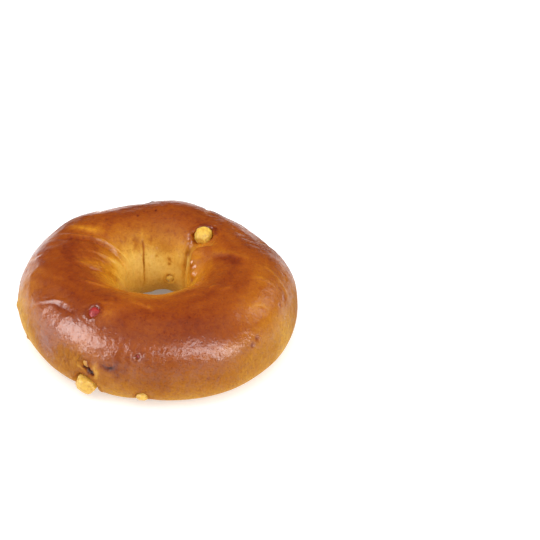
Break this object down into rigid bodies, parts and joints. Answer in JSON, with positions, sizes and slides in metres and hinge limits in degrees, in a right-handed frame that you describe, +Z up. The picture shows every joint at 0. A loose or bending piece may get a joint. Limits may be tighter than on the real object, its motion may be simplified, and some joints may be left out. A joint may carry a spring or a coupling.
{
  "type": "king cake",
  "caption": "Ring-shaped sweet bread with a glazed brown crust and small pieces of candied fruit baked into it.",
  "frame": {"origin": "middle of the bounding box on the flat underside, under the centre of the hole", "axes": "+Z up, out of the top of the ring; +X to the right and +Y away from the viewer when the cake is seen from its front, the side with the large yellow piece of fruit at its lower left"},
  "size_m": [0.15, 0.1508, 0.0462],
  "materials": {
    "crust": null,
    "candied_cherry": "glossy translucent red",
    "candied_lemon": "glossy translucent yellow",
    "candied_orange": "glossy translucent orange",
    "candied_pineapple": "glossy translucent pale yellow"
  },
  "bodies": {
    "root": {"dough_ring": "crust", "candied_pineapple_rim": "candied_pineapple", "candied_cherry_top": "candied_cherry", "candied_lemon_foot": "candied_lemon", "candied_lemon_base": "candied_lemon", "candied_citron_hole": "candied_pineapple", "candied_orange_side": "candied_orange", "candied_cherry_front": "candied_cherry", "candied_orange_back": "candied_orange", "candied_cherry_back": "candied_cherry", "candied_lemon_back": "candied_lemon", "candied_cherry_left": "candied_cherry", "candied_pineapple_back": "candied_pineapple"}
  },
  "joints": []
}
